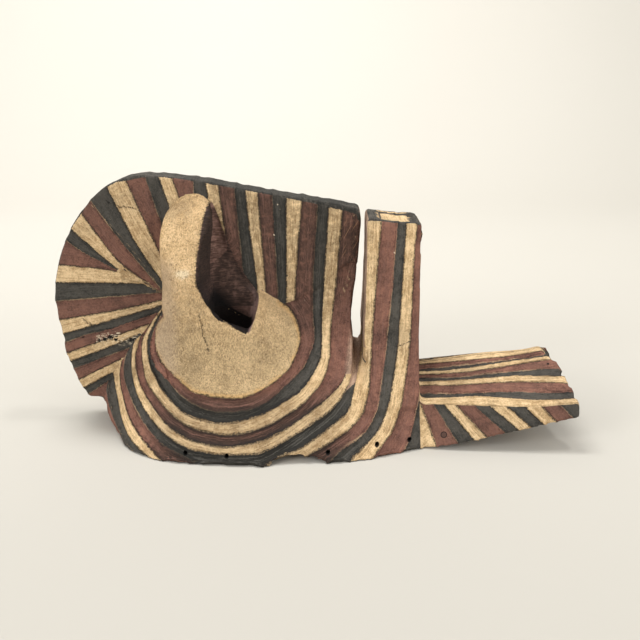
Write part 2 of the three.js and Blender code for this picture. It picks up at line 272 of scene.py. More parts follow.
# Lines between the stripes round the eye, each from the crown under the eye to the chin: how many
# stripes lie within it, its straight run-outs at the crown and at the chin, and its points.
ringShapes = [
    (0, [(-168, 400), (-164, 150), (-161, 138)], [(-38, 400)],
     [(-158, 132), (-167, 121), (-169, 114), (-168, 101), (-162, 89), (-154, 81), (-143, 73), (-127, 62),
      (-119, 59), (-100, 56), (-81, 55), (-66, 57), (-45, 65), (-29, 75), (-21, 83), (-13, 99),
      (-12, 110), (-16, 122), (-24, 133), (-35, 141)]),
    (1, [(-168.4, 400), (-164.4, 150), (-161.4, 138)], [(9, 400)],
     [(-158.6, 132), (-167.6, 121), (-169.6, 116), (-172, 110), (-173, 96), (-168, 84), (-163, 78),
      (-150, 67), (-133, 55), (-115, 47), (-92, 43), (-66, 45), (-46, 52), (-26, 66), (-11, 78),
      (-6, 84), (1, 98), (3, 112), (1, 147), (6, 241)]),
    (2, [(-176, 400), (-170, 160), (-165, 140)], [(23, 400)],
     [(-163, 133), (-171, 120), (-178, 107), (-180, 98), (-178, 87), (-173, 76), (-164, 65.5),
      (-157, 58), (-137, 44), (-125, 39), (-111, 36), (-96, 34), (-78, 35), (-51, 42), (-23, 54),
      (-8, 63), (5, 79), (10, 90), (11, 103), (11, 128), (18, 239)]),
    (3, [(-178, 400), (-171.5, 160), (-165.6, 137)], [(42, 400)],
     [(-167, 129), (-173, 121), (-179, 113), (-185, 103), (-187, 95), (-186, 85), (-183, 75), (-178, 64),
      (-169, 56), (-156, 46), (-145, 39), (-124, 30), (-100, 26), (-78, 25), (-46, 32), (-27, 40),
      (-12, 47), (-2, 54), (10, 65), (16, 75), (20, 90), (20, 108), (27, 166), (33, 237)]),
    (4, [(-186, 400), (-184.5, 118)], [(52, 400)],
     [(-184, 109), (-190, 99), (-193, 87), (-194, 81), (-192, 71), (-187, 62), (-178, 52), (-154, 33),
      (-141, 26), (-120, 19), (-91, 15), (-74, 16), (-53, 20), (-30, 28), (-15, 35), (10, 48), (30, 62),
      (37, 72), (42, 84), (45, 97), (49, 165), (50.6, 240)]),
    (5, [(-194, 400), (-193.5, 108)], [(52.5, 400)],
     [(-193, 100), (-197, 95), (-200, 85), (-199.5, 76), (-197, 64), (-189, 50), (-178, 39), (-162, 28),
      (-144, 19), (-130, 14), (-118, 11), (-91, 9), (-60, 10), (-41, 14), (11, 37), (26, 46), (38, 59),
      (42, 68), (44.5, 80), (46, 95), (49.5, 165), (51, 240)]),
    (6, [(-199, 400), (-198.5, 100)], [(55.6, 400)],
     [(-198, 94), (-204, 87), (-208.5, 75), (-209, 63), (-205, 53), (-188, 35), (-160, 16), (-141, 9),
      (-124, 4), (-105, -3), (-84, -8), (-58, -4), (-31, 8), (-7, 15), (32, 35), (39, 41), (43, 48),
      (46, 60), (50, 72), (54, 88), (55.6, 100), (55.6, 240)]),
    (7, [(-213, 400), (-212.5, 80)], [(-140, -8)],
     [(-212, 72), (-214, 62), (-213, 55), (-210, 45), (-201, 31), (-187, 20), (-160, 5), (-154, 2)]),
    (8, [(-225, 400), (-224.5, 64)], [(-150, -6)],
     [(-224, 58), (-222, 50), (-215, 33), (-206, 20), (-195, 12), (-175, 4)]),
    (9, [(-233, 400), (-231, 50)], [(-165, -6)],
     [(-230, 44), (-227, 28), (-223, 20), (-217, 12), (-202, 5), (-185, 0)]),
    (7, [(-30, -5)], [(80, 400)],
     [(-4, 7), (27, 19), (42, 26), (54, 37), (57.5, 46), (62.5, 65), (65.6, 119), (74, 231)]),
    (8, [(8, -4)], [(98, 400)],
     [(21, 3), (31, 9), (53, 20), (60, 26), (66, 34), (72, 49), (82, 115), (91, 231)]),
    (9, [(34, -4)], [(104, 400)],
     [(42, 2), (65, 18), (73, 26), (80, 39), (85, 56), (93, 106), (100, 231)]),
    (10, [(58, -4)], [(115, 400)],
     [(65, 2), (81, 15), (86, 21), (94, 37), (98, 52), (106, 106), (109, 191), (112, 230)]),
    (11, [(88, -8)], [(118, 60), (119, 400)],
     [(94, 0), (101, 6), (106, 16), (114, 42)]),
]
ringLines = [(k, smoothLine(shape, before=start, after=end)) for k, start, end, shape in ringShapes]

# c cream, r red-brown, k black; the first is the eye itself
ringInk = {"crown": "crkcrckrckr", "chin": "crkcrckcrkcrk"}

# Lines between the stripes of the board, round the fan from its lower corner and then along the crest.
fanLines = [
    [(-251, 33), (-233, 46)], [(-255, 40), (-226, 56)], [(-260, 50), (-215, 73)],
    [(-264, 63), (-204, 86)], [(-268, 71), (-216, 91), (-197, 100)], [(-271, 81), (-181, 114)],
    [(-273, 93), (-246, 103), (-224, 108), (-165, 129)], [(-275, 102), (-162, 136)],
    [(-277, 119), (-236, 126), (-200, 133), (-163, 142)], [(-281, 140), (-163, 150)],
    [(-279, 161), (-183, 160)], [(-273, 181), (-211, 174), (-182, 160.6)],
    [(-264, 207), (-246, 194), (-211, 175), (-182, 161)], [(-258, 219), (-211, 176), (-182, 161.4)],
    [(-245, 236), (-216, 193), (-195, 172), (-181, 162)], [(-234, 248), (-203, 203), (-166, 155)],
    [(-216, 262), (-190, 205), (-165, 165)], [(-195, 269), (-166, 198)], [(-175, 273), (-161, 225)],
    [(-159, 267), (-153, 248)], [(-148, 276), (-141, 255)], [(-125, 275), (-125, 258)],
    [(-113, 269), (-110, 256)], [(-99, 269), (-92, 211)], [(-82, 266), (-76, 194), (-74, 175)],
    [(-70, 262), (-68, 231), (-59, 156)], [(-57, 260), (-50, 151)], [(-42, 257), (-37, 147)],
    [(-27, 253), (-28, 140)], [(-10, 249), (-15, 196), (-19, 135)],
]
for number in (1, 2, 3):
    ring = ringLines[number][1][::-1]
    fanLines.append([tuple(q) for q in ring if q[1] > 95 and q[0] > -30 and q[1] < 300])


def runOut(points, reach=25):
    # carries a fan line on past the board's edge
    p = np.array(points, float)
    way = p[0] - p[1]
    return smoothLine(points, before=[p[0] + way / np.linalg.norm(way) * reach])


crestLines = [(k, runOut(points)) for k, points in enumerate(fanLines)]

# Beard: half widths of the lines between its bands, at these places along it, from the ridge to the eave
beardBands = {
    "x": [103, 130, 150, 175, 200, 225, 250, 285],
    "half": [
        [6, 6, 8, 10, 11, 9.5, 8, 8], [11, 12.2, 13.6, 15.3, 15.3, 13.5, 12.5, 12],
        [17, 19, 22, 23, 20.5, 17, 16.4, 16], [23, 25, 28, 30, 28.6, 25, 23, 22],
        [26, 28, 32.5, 35, 34, 32.5, 34, 35], [36, 37, 39.4, 42, 42.5, 42, 46.5, 52],
        [43, 44.3, 48.2, 50.5, 51.5, 52, 56.2, 65], [55, 56.5, 60, 63.4, 65, 66, 69.8, 74],
        [63, 65.5, 67.8, 70, 75, 80, 82.7, 86],
    ],
    "ink": "crkcrkcrkc",
    "end": [
        (0, 259.4), (5, 260.4), (9, 261), (12, 264), (19, 265.5), (22, 266.5), (25, 272), (29, 273.2),
        (36, 274), (45, 273), (49, 274.8), (58, 276.2), (64, 275.4), (68, 279), (72, 280.8), (84, 280.6),
        (88, 282), (92, 282.6), (96, 283.6), (120, 284.4)
    ],
}
# The beard's sides: slanting stripes, top and foot of each line
sideLines = [
    [(117, 43), (132, 6)], [(128, 46), (154, 9)], [(138, 46), (172, 11)], [(151, 46), (187, 13)],
    [(167, 48), (206, 18)], [(184, 48), (220, 21)], [(202, 48), (234, 24)], [(221, 48), (245, 27)],
    [(240, 48), (259, 30)], [(259, 50), (275, 35)],
]
sideInk = "crkcrkckcrk"
cracks = [smoothLine(p) for p in (
    [(-116, 137), (-113, 118), (-108, 102), (-104, 81), (-102, 66)],
    [(-251.7, 118.6), (-245.4, 113.6), (-239.9, 112.9), (-231.5, 115.9)],
    [(-216.8, 249.9), (-211, 246.9), (-205, 245), (-189.5, 242.7)], [(93, 101), (98, 102), (104, 104.5)],
)]

scratches = [
    [(-235.2, 246.3), (-218.3, 226.9), (-200.2, 205.1), (-182.1, 179.8), (-169.9, 162)],
    [(-182, 161), (-168, 154)], [(-196, 150), (-172, 151.5)],
    [(30.9, 144.4), (41.6, 175.8), (50.1, 193.5)], [(36.9, 219.7), (47.4, 239.1)], [(36, 150), (42, 168)],
    [(40, 200), (49, 216)],
]

print("stripes drawn:", len(ringLines), "round the eye,", len(crestLines), "on the board")


# The carved mask

damage = {              # side-view places of the near half unless three numbers are given
    "holes": [(-127.9, 8), (-84.9, 7.5), (18.1, 8), (69.1, 11), (104.1, 10)],
    "holeSize": 2.1,
    "plugs": [((140.3, -93, 15), 3.3), ((260.7, -29, 74), 2.3)],
    "pits": [
        ((-260.9, -19, 98.7), 0.7), ((-254.1, -19, 98.5), 0.8), ((-236.6, -19, 95.6), 1.7),
        ((-229.9, -19, 96.7), 2.3), ((-223.6, -19, 98.6), 2.6), ((-217.7, -19, 95.8), 1.8),
        ((-217.0, -19, 100.2), 1.2), ((-212.3, -19, 93.6), 1.4), ((-202.1, -19, 96.1), 1.7),
        ((-197.0, -19, 96.8), 1.5)
    ],
    "chips": [
        ((-36, -19, 247), 0.9), ((-33.5, -19, 242), 0.8), ((-38, -19, 243.5), 0.6),
        ((-40.5, -19, 214), 0.9), ((63, -38, 232), 0.9), ((96, -38, 231), 1.0), ((88, -38, 199), 0.9)
    ],
}

carving = {
    "voxel": 2.2,          # mm between points of the carved surface
    "facetRounding": 26,   # passes that melt the model's flat facets away
    "edgeRounding": 3,     # passes over the sharp edges, worn by handling
    "fluteDepth": 2.9,     # hollow of each dark stripe round the eye
    "eyeLip": 0.9,         # how far the eye stands above the first stripe
    "boardFlute": 0.8,
    "mouthFlute": 0.8,
    "beardStep": 1.5,      # how deep the beard's black bands lie
    "beardSideFlute": 0.35,
    "unevenness": 0.5,     # slow waviness left by the adze
    "hoodRoughness": 0.35,
    "gouge": 0.8,          # adze marks on the hidden inside
    "mostFaces": 196000,
}


def remeshed(source, voxel):
    work = bpy.data.objects.new("carvedMask", source.data.copy())
    bpy.context.scene.collection.objects.link(work)
    mod = work.modifiers.new("remesh", "REMESH")
    mod.mode = "VOXEL"
    mod.voxel_size = voxel * mm
    made = bpy.data.meshes.new_from_object(work.evaluated_get(bpy.context.evaluated_depsgraph_get()))
    work.modifiers.clear()
    work.data = made
    return work


def meshPoints(mesh):
    points = np.empty(len(mesh.vertices) * 3, np.float32)
    mesh.vertices.foreach_get("co", points)
    return points.reshape(-1, 3).astype(float) / mm


def setPoints(mesh, points):
    mesh.vertices.foreach_set("co", (points * mm).astype(np.float32).ravel())
    mesh.update()


def meshNormals(mesh):
    normals = np.empty(len(mesh.vertices) * 3, np.float32)
    mesh.vertex_normals.foreach_get("vector", normals)
    return normals.reshape(-1, 3).astype(float)


def meshEdges(mesh):
    e = np.empty(len(mesh.edges) * 2, np.int32)
    mesh.edges.foreach_get("vertices", e)
    return e.reshape(-1, 2)


def around(edges, values):
    # mean of each point's neighbours
    count = len(values)
    n = np.maximum(np.bincount(edges.ravel(), minlength=count), 1)
    a, b = edges.T
    means = [(np.bincount(a, v[b], count) + np.bincount(b, v[a], count)) / n for v in values.T]
    return np.stack(means, 1)


def sharpEdges(mesh, angle=33, spacing=2.0):
    bm = bmesh.new()
    bm.from_mesh(mesh)
    bmesh.ops.remove_doubles(bm, verts=bm.verts, dist=1e-5)
    found = []
    for e in bm.edges:
        if len(e.link_faces) == 2 and e.calc_face_angle(0) > math.radians(angle):
            a, b = (v.co / mm for v in e.verts)
            n = max(int((b - a).length / spacing), 1)
            found += [a.lerp(b, k / n) for k in range(n + 1)]
    bm.free()
    return found


def slowNoise(points, size, seed=0):
    # smooth noise about -0.5..0.5, features of the given size in mm
    shift = Vector((seed * 17.3, seed * 5.1, seed * 9.7))
    return np.array([noise.noise(Vector(p) / size + shift) for p in points])


def fields(points, normals):
    # where each point lies in the painted and carved pattern, and which way it faces
    x, half, z = points[:, 0], np.abs(points[:, 1]), points[:, 2]
    view = points[:, [0, 2]]
    chart = {}
    chart["ringBand"], chart["ringWide"] = bandField(view, ringLines, -1)
    hoodNeck = (points[:, 1] > 24) & (x > -168) & (x < -140) & (z > 118)
    chart["ringBand"][hoodNeck] = -0.5
    crest, chart["crestWide"] = bandField(view, crestLines, 1)
    chart["crestBand"] = crest + 1
    side, chart["sideWide"] = bandField(view, [(k, smoothLine(p)) for k, p in enumerate(sideLines)], 1)
    chart["sideBand"] = side + 1
    rows = [np.interp(x, beardBands["x"], row) for row in beardBands["half"]]
    borders = [np.zeros(len(points)), *rows, eaveHalf(x) + 0.5]
    chart["topBand"], chart["topWide"] = np.full(len(points), 9.999), np.full(len(points), 8.0)
    for k, (a, b) in enumerate(zip(borders[:-1], borders[1:])):
        here = (half >= a) & (half < b)
        chart["topBand"][here] = k + ((half - a) / (b - a))[here]
        chart["topWide"][here] = (b - a)[here]
    chart["aboveRoof"] = z - roofHeight(x, half)
    chart["pastEave"] = half - eaveHalf(x)
    chart["aboveShell"] = z - crestLine(x)
    chart["aboveJoint"] = np.where(x < -150, z - between(x, form["joint"]), chart["aboveShell"] + 1.4)
    chart["merged"] = shapeDistance(view, np.array(form["merged"], float))
    chart["slotPlace"] = x - between(z, form["slotMiddle"])
    chart["slotFace"] = (np.abs(normals[:, 0]) > 0.78) & (x > 44) & (x < 62) & (z > 98)
    chart["up"] = normals[:, 2]
    chart["flank"] = np.abs(normals[:, 1])
    chart["slitGap"] = shapeDistance(view, np.array(form["slit"], float))
    boardGap = -shapeDistance(view, np.array(form["board"], float))
    belowEdge = between(x, form["boardTop"]) - z - boardMargin(x)
    chart["edgeGap"] = np.minimum(belowEdge, np.where(x < -150, boardGap - 1.1, 50))
    chart["inside"] = (normals[:, 1] * np.sign(points[:, 1]) < 0.4) & np.where(
        x > 108,
        (chart["aboveRoof"] < -10) & (half < sideHalf(x, z) - 7) & (x < 283),
        (z < bowlTop(x) + 3) & (x > -209) & (half < shellHalf(x, z) - 7),
    )
    chart["crackNear"], chart["crackSide"] = np.full(len(points), 50.0), np.full(len(points), 50.0)
    for line in cracks:
        d, turn = lineDistance(view, line)
        near = (d < chart["crackNear"]) & (points[:, 1] < 0)
        chart["crackNear"][near], chart["crackSide"][near] = d[near], (d * turn)[near]
    toScratch = np.min([lineDistance(view, smoothLine(p))[0] for p in scratches], axis=0)
    chart["scratch"] = np.where(points[:, 1] < 0, toScratch, 50)
    return {k: np.asarray(v, float) for k, v in chart.items()}


def sideHalf(x, z):
    # half width of the beard's side at this height
    low = between(x, form["sideFoot"])
    return footHalf(x) + (eaveHalf(x) - footHalf(x)) * np.clip((z - low) / (eaveHeight(x) - low), 0, 1)


def inkDepth(band, inks):
    # cream stands high and nearly flat, the dark stripes are hollowed out
    depth = np.array([{"c": 0.35, "r": 1.0, "k": 1.15}[c] for c in inks])
    return depth[np.clip(np.floor(band).astype(int), 0, len(inks) - 1)]


def flute(band, wide, full=9.0):
    # a shallow trough across each stripe, crisp ridges where two meet
    across = band - np.floor(band)
    return (4 * across * (1 - across)) ** 0.8 * np.clip(wide / full, 0, 1) * smoothStep(1.5, 5, wide)


def carve(points, normals, chart):
    # how far the knife goes below the model's surface, in mm
    x, half, z = points[:, 0], np.abs(points[:, 1]), points[:, 2]
    board = (half < form["boardHalf"] + 0.8) & (chart["slotPlace"] < 0) & (chart["aboveJoint"] > 0)
    beard = x > form["mouthX"][1] - 0.2
    top = beard & (chart["pastEave"] < 0.3)
    mouth = (chart["slotPlace"] > 0) & ~beard & (z > 40)
    deep = np.zeros(len(points))
    rings = ~board & ~beard & ~mouth
    ringOn = smoothStep(-0.04, 0.10, chart["ringBand"])
    chinInks, crownInks = (inkDepth(chart["ringBand"] + 1, ringInk[end]) for end in ("chin", "crown"))
    ringInks = np.where(x > -60, chinInks, crownInks)
    boardInks = inkDepth(chart["crestBand"] % 3, "rkc")
    ringFlute = carving["fluteDepth"] * ringInks * flute(
        np.maximum(chart["ringBand"], 0), chart["ringWide"]
    )
    deep += rings * ringOn * (carving["eyeLip"] + ringFlute)
    deep += board * carving["boardFlute"] * boardInks * flute(chart["crestBand"], chart["crestWide"])
    deep += mouth * (0.3 + carving["mouthFlute"] * ringInks * flute(chart["ringBand"], chart["ringWide"]))
    deep += (beard & ~top) * carving["beardSideFlute"] * flute(chart["sideBand"], chart["sideWide"])
    turn = chart["topBand"] % 3
    trough = smoothStep(1.75, 2.2, turn) * smoothStep(3.05, 2.8, turn)
    stepped = carving["beardStep"] * trough + 0.5 * smoothStep(0.8, 1.2, turn)
    deep += top * (stepped + 0.5 * flute(chart["topBand"], chart["topWide"]))
    deep[chart["inside"] > 0] = 0
    return deep


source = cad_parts["mask"]
mask = remeshed(source, carving["voxel"])
points = meshPoints(mask.data)
edges = meshEdges(mask.data)
print("carved surface:", len(points), "points")

sharp = sharpEdges(source.data)
tree = kdtree.KDTree(len(sharp))
for i, p in enumerate(sharp):
    tree.insert(p, i)
tree.balance()
edgeGap = np.array([tree.find(p)[2] for p in points])
x, half, z = points[:, 0], np.abs(points[:, 1]), points[:, 2]
belowSlot = smoothStep(44, 48, x) * smoothStep(66, 61, x) * smoothStep(48, 56, z) * smoothStep(105, 97, z)
soft = np.maximum(smoothStep(2.5, 8, edgeGap), belowSlot * (half > 38))[:, None]
for step in range(carving["facetRounding"]):
    points += 0.6 * soft * (around(edges, points) - points)
worn = smoothStep(6, 1.5, edgeGap)[:, None] * 0.5
for step in range(carving["edgeRounding"]):
    points += worn * (around(edges, points) - points)
setPoints(mask.data, points)
print("facets melted")


def pulled(points, pulls, here, reach, leastWeight):
    # moves the surface in the side view, each pull felt as far as its reach
    pull, weight = np.zeros((len(points), 2)), np.zeros(len(points))
    for x, z, right, up in pulls:
        near = np.exp(-((points[:, 0] - x) ** 2 + (points[:, 2] - z) ** 2) / reach) * here
        pull += near[:, None] * (right, up)
        weight += near
    points[:, [0, 2]] += pull / np.maximum(weight, leastWeight)[:, None]


# the slit's lips, the mouth's top corner, the rim, the board's outline and the sides of the slot
half = np.abs(points[:, 1])
pulled(points, form["slitPulls"], half > 19.6, 90, 1)
pulled(points, form["mouthPulls"], points[:, 0] > 96, 90, 1)
pulled(points, form["rimPulls"], (half > 30) & (points[:, 0] < -100), 200, 1)
pulled(points, form["boardPulls"], (half < 20.5) & (points[:, 0] < form["slotX"]), 130, 0.35)
noseShift = smoothStep(38, 48, points[:, 0]) * between(points[:, 2], form["noseEdge"])
lipShift = smoothStep(68, 57, points[:, 0]) * between(points[:, 2], form["mouthEdge"])
points[:, 0] += np.where(points[:, 0] < form["slotX"], noseShift, lipShift)

# the beard ends in rounded lobes
tip = (points[:, 0] > 250) & (points[:, 2] > roofHeight(points[:, 0], half) - 4)
slots = np.clip((half / 2).astype(int), 0, 60)
endNow = np.full(61, -1e9)
np.maximum.at(endNow, slots[tip], points[tip, 0])
known = np.nonzero(endNow > 0)[0]
shift = np.clip(between(known * 2 + 1, beardBands["end"]) - endNow[known], -8, 8)
points[:, 0] += np.interp(slots, known, shift) * smoothStep(232, 262, points[:, 0])
setPoints(mask.data, points)

normals = meshNormals(mask.data)
chart = fields(points, normals)
deep = carve(points, normals, chart)
uneven = slowNoise(points, 34, 1) + 0.5 * slowNoise(points, 13, 2)
outer = 1 - chart["inside"]
deep += outer * carving["unevenness"] * (uneven + 0.5)
hood = outer * (chart["ringBand"] < 0) * (chart["aboveShell"] < 0) * (points[:, 0] < 50)
deep += hood * carving["hoodRoughness"] * (slowNoise(points, 5, 3) + slowNoise(points, 2.6, 4) + 0.6)
hidden = np.nonzero(chart["inside"] > 0)[0]
marks = np.array([noise.voronoi(Vector((p[0] / 26, p[1] / 11, p[2] / 15)))[0][0] for p in points[hidden]])
deep[hidden] += carving["gouge"] * np.clip(1 - marks, 0, 1)
points -= normals * np.clip(deep, 0, 4)[:, None]
points[:, 2] = np.maximum(points[:, 2], 0)  # the rim rests on the floor
setPoints(mask.data, points)
print("stripes cut")

group = mask.vertex_groups.new(name="thin")
group.add(np.nonzero(chart["inside"] > 0)[0].tolist(), 0.8, "REPLACE")
mask.data.calc_loop_triangles()
triangles = len(mask.data.loop_triangles)
thin = mask.modifiers.new("thin", "DECIMATE")
thin.ratio = min(1.0, carving["mostFaces"] / triangles)
thin.vertex_group = "thin"
thin.vertex_group_factor = 0.5
made = bpy.data.meshes.new_from_object(mask.evaluated_get(bpy.context.evaluated_depsgraph_get()))
mask.modifiers.clear()
mask.vertex_groups.clear()
mask.data = made
print("triangles", triangles, "thinned to", len(made.polygons))


def triangulated(mesh):
    # faces of many corners fold over themselves round the drill's cuts
    bm = bmesh.new()
    bm.from_mesh(mesh)
    bmesh.ops.triangulate(bm, faces=bm.faces[:])
    bm.to_mesh(mesh)
    bm.free()


def cutHoles(mask):
    # round holes for the costume's net, both sides
    bm = bmesh.new()
    for hx, hz in damage["holes"]:
        for side in (-1, 1):
            reach = float(shellHalf(np.array(hx), np.array(hz))) - 9
            turned = Matrix.Rotation(math.radians(90), 4, "X")
            turned = Matrix.Translation((hx * mm, side * reach * mm, hz * mm)) @ turned
            wide = {"radius1": damage["holeSize"] * mm, "radius2": damage["holeSize"] * mm}
            bmesh.ops.create_cone(bm, cap_ends=True, segments=20, depth=34 * mm, matrix=turned, **wide)
    drill = bpy.data.meshes.new("drill")
    bm.to_mesh(drill)
    bm.free()
    bits = bpy.data.objects.new("drill", drill)
    bpy.context.scene.collection.objects.link(bits)
    cut = mask.modifiers.new("cut", "BOOLEAN")
    cut.operation, cut.solver, cut.object = "DIFFERENCE", "MANIFOLD", bits
    holed = bpy.data.meshes.new_from_object(mask.evaluated_get(bpy.context.evaluated_depsgraph_get()))
    mask.modifiers.clear()
    bpy.data.objects.remove(bits)
    mask.data = holed
    triangulated(holed)
    return holed


def coveredBySide(mesh, points):
    # 1 where the eye's hood stands between a point and the side view
    tree = BVHTree.FromPolygons(points.tolist(), [tuple(p.vertices) for p in mesh.polygons])
    covered = np.zeros(len(points))
    x, half, z = points[:, 0], np.abs(points[:, 1]), points[:, 2]
    near = ((x > -121.5) | (z > 165)) & (x > -130) & (x < -46) & (z > 96) & (z < 256) & (half > 10)
    for i in np.nonzero(near)[0]:
        way = Vector((0, math.copysign(1, points[i, 1]), 0))
        covered[i] = tree.ray_cast(Vector(points[i]) + way * 0.8, way)[0] is not None
    return covered


made = cutHoles(mask)
print("holes drilled:", len(made.polygons), "faces")
points, normals = meshPoints(made), meshNormals(made)
chart = fields(points, normals)
chart["covered"] = coveredBySide(made, points) * ((chart["slitGap"] < 9) | (points[:, 0] > -121.5))
for name, values in chart.items():
    kept = made.attributes.new(name, "FLOAT", "POINT")
    kept.data.foreach_set("value", values.astype(np.float32))
for p in made.polygons:
    p.use_smooth = True
print("pattern stored")

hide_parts("mask")
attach(mask, "root")


# Node helpers

class Value:
    # a value on its way between nodes: each sign between two of them adds a maths node
    def __init__(self, socket):
        self.socket = socket

    def __add__(self, more):
        return calc("ADD", self, more)

    def __sub__(self, less):
        return calc("SUBTRACT", self, less)

    def __rsub__(self, start):
        return calc("SUBTRACT", start, self)

    def __mul__(self, factor):
        return calc("MULTIPLY", self, factor)

    def __truediv__(self, share):
        return calc("DIVIDE", self, share)

    def __mod__(self, span):
        return calc("FLOORED_MODULO", self, span)

    def __gt__(self, limit):
        return calc("GREATER_THAN", self, limit)

    def __lt__(self, limit):
        return calc("LESS_THAN", self, limit)

    def __abs__(self):
        return calc("ABSOLUTE", self)


def join(value, socket):
    if isinstance(value, Value):
        socket.id_data.links.new(value.socket, socket)
    else:
        socket.default_value = value


def put(tree, kind, links=(), out=0, **settings):
    # a new node, given as the value it puts out; tree is a node tree or any value in it
    tree = tree.socket.id_data if isinstance(tree, Value) else tree
    made = tree.nodes.new("ShaderNode" + kind)
    for key, value in settings.items():
        setattr(made, key, value)
    for socket, value in dict(links).items():
        join(value, made.inputs[socket])
    return made if out is None else Value(made.outputs[out])


def split(vector, kind="SeparateXYZ"):
    made = put(vector, kind, {0: vector}, out=None)
    return [Value(socket) for socket in made.outputs[:3]]


def combine(tree, x=0.0, y=0.0, z=0.0):
    return put(tree, "CombineXYZ", {0: x, 1: y, 2: z})


def calc(op, *values):
    tree = next(v for v in values if isinstance(v, Value))
    return put(tree, "Math", enumerate(values), operation=op)


def most(*values):
    out = values[0]
    for v in values[1:]:
        out = calc("MAXIMUM", out, v)
    return out


def least(*values):
    out = values[0]
    for v in values[1:]:
        out = calc("MINIMUM", out, v)
    return out


def pick(mask, a, b):
    return put(mask, "Mix", {0: mask, 2: a, 3: b}, data_type="FLOAT")


def blend(mask, a, b):
    return put(mask, "Mix", {0: mask, 6: a, 7: b}, out=2, data_type="RGBA")


def rise(value, a, b):
    # 0 below a, 1 above b, smooth between; falls if a is the larger
    ends = {1: min(a, b), 2: max(a, b), 3: float(a > b), 4: float(a < b)}
    return put(value, "MapRange", {0: value, **ends}, interpolation_type="SMOOTHSTEP")


def steps(value, colours):
    # equal steps of colour over 0..1
    made = put(value, "ValToRGB", {0: value}, out=None)
    made.color_ramp.interpolation = "CONSTANT"
    marks = made.color_ramp.elements
    marks[0].position, marks[0].color = 0, colours[0]
    marks[1].position, marks[1].color = 1 / len(colours), colours[1]
    for k in range(2, len(colours)):
        marks.new(k / len(colours)).color = colours[k]
    return Value(made.outputs[0])


def field(tree, name):
    return put(tree, "Attribute", out="Fac", attribute_type="GEOMETRY", attribute_name=name)


def grainNoise(place, scale, detail=2.0, roughness=0.5, warp=0.0):
    shape = {
        "Vector": place, "Scale": scale, "Detail": detail, "Roughness": roughness, "Distortion": warp
    }
    return put(place, "TexNoise", shape, out="Fac")


def stretch(vector, x, y, z):
    return put(vector, "VectorMath", {0: vector, 1: (x, y, z)}, operation="MULTIPLY")


def distance(a, b):
    return put(a, "VectorMath", {0: a, 1: b}, out="Value", operation="DISTANCE")


def nearestMark(place, marks):
    # distance from the nearest of these marks, each a place and a radius
    return least(*[distance(place, where) - radius for where, radius in marks])


def paint(r, g, b):
    # a colour as a screen shows it, 0..255
    parts = [c / 255 / 12.92 if c <= 10 else ((c / 255 + 0.055) / 1.055) ** 2.4 for c in (r, g, b)]
    return (*parts, 1.0)


def newGroup(name, takes, gives):
    # a group that takes a place and numbers: its tree, what it takes, and the sockets for what it gives
    group = bpy.data.node_groups.new(name, "ShaderNodeTree")
    group.interface.new_socket(name="Place", in_out="INPUT", socket_type="NodeSocketVector")
    for label, number in takes.items():
        socket = group.interface.new_socket(name=label, in_out="INPUT", socket_type="NodeSocketFloat")
        socket.default_value = number
    for label in gives:
        group.interface.new_socket(name=label, in_out="OUTPUT", socket_type="NodeSocketFloat")
    taken = group.nodes.new("NodeGroupInput").outputs
    given = group.nodes.new("NodeGroupOutput").inputs
    return group, {label: Value(taken[label]) for label in ("Place", *takes)}, given


def useGroup(tree, group, **values):
    made = tree.nodes.new("ShaderNodeGroup")
    made.node_tree = group
    for label, value in values.items():
        join(value, made.inputs[label])
    return {socket.name: Value(socket) for socket in made.outputs}


def newFinish(name):
    # a material, its tree and the place on the mask in mm
    made = bpy.data.materials.new(name)
    made.use_nodes = True
    made.node_tree.nodes.clear()
    return made, made.node_tree, stretch(put(made.node_tree, "TexCoord", out="Object"), 1000, 1000, 1000)


def finishWith(tree, colour, roughness, height, gloss):
    bump = put(tree, "Bump", {"Strength": 1.0, "Distance": 0.001, "Height": height})
    look = {"Base Color": colour, "Roughness": roughness, "Normal": bump, "Specular IOR Level": gloss}
    put(tree, "OutputMaterial", {0: put(tree, "BsdfPrincipled", look)}, out=None)


# Effects that both finishes share, with lengths in mm

def makeWoodGrain():
    # fibres that run from crown to beard, and open pores
    tree, take, give = newGroup("woodGrain", {"Fibre": 0.8}, ["Grain", "Pores"])
    long = stretch(take["Place"], 0.07, 1.0, 1.0)
    fine = grainNoise(long, take["Fibre"], 3, 0.6, 0.3)
    broad = grainNoise(long, 0.22, 2, 0.5, 0.6)
    join(fine * 0.6 + broad * 0.4, give["Grain"])
    join(rise(grainNoise(stretch(take["Place"], 0.16, 1.0, 1.0), 1.5, 1), 0.67, 0.78), give["Pores"])
    return tree


def makeHandWear():
    # blotches where hands and costume have rubbed
    tree, take, give = newGroup("handWear", {"Size": 0.02, "Seed": 0.0}, ["Rubbed", "Grime"])
    moved = put(tree, "VectorMath", {0: take["Place"], 1: combine(tree, take["Seed"])}, operation="ADD")
    big = grainNoise(moved, take["Size"], 4, 0.62)
    spots = grainNoise(moved, 0.45, 3, 0.7)
    join(rise(big * 0.6 + spots * 0.4, 0.5, 0.62), give["Rubbed"])
    join(rise(big * 0.75 + spots * 0.25, 0.52, 0.36), give["Grime"])
    return tree


def makeToolMarks():
    # shallow scoops of a blade, side by side
    tree, take, give = newGroup("toolMarks", {"Length": 0.05, "Width": 0.14}, ["Scoop", "Tear"])
    size = combine(tree, take["Length"], take["Width"], take["Width"])
    sized = put(tree, "VectorMath", {0: take["Place"], 1: size}, operation="MULTIPLY")
    cells = {"Vector": sized, "Scale": 1.0, "Randomness": 0.9}
    join(put(tree, "TexVoronoi", cells, out="Distance", feature="SMOOTH_F1"), give["Scoop"])
    join(rise(grainNoise(stretch(take["Place"], 0.12, 1.2, 1.2), 0.8, 2, 0.7), 0.6, 0.72), give["Tear"])
    return tree


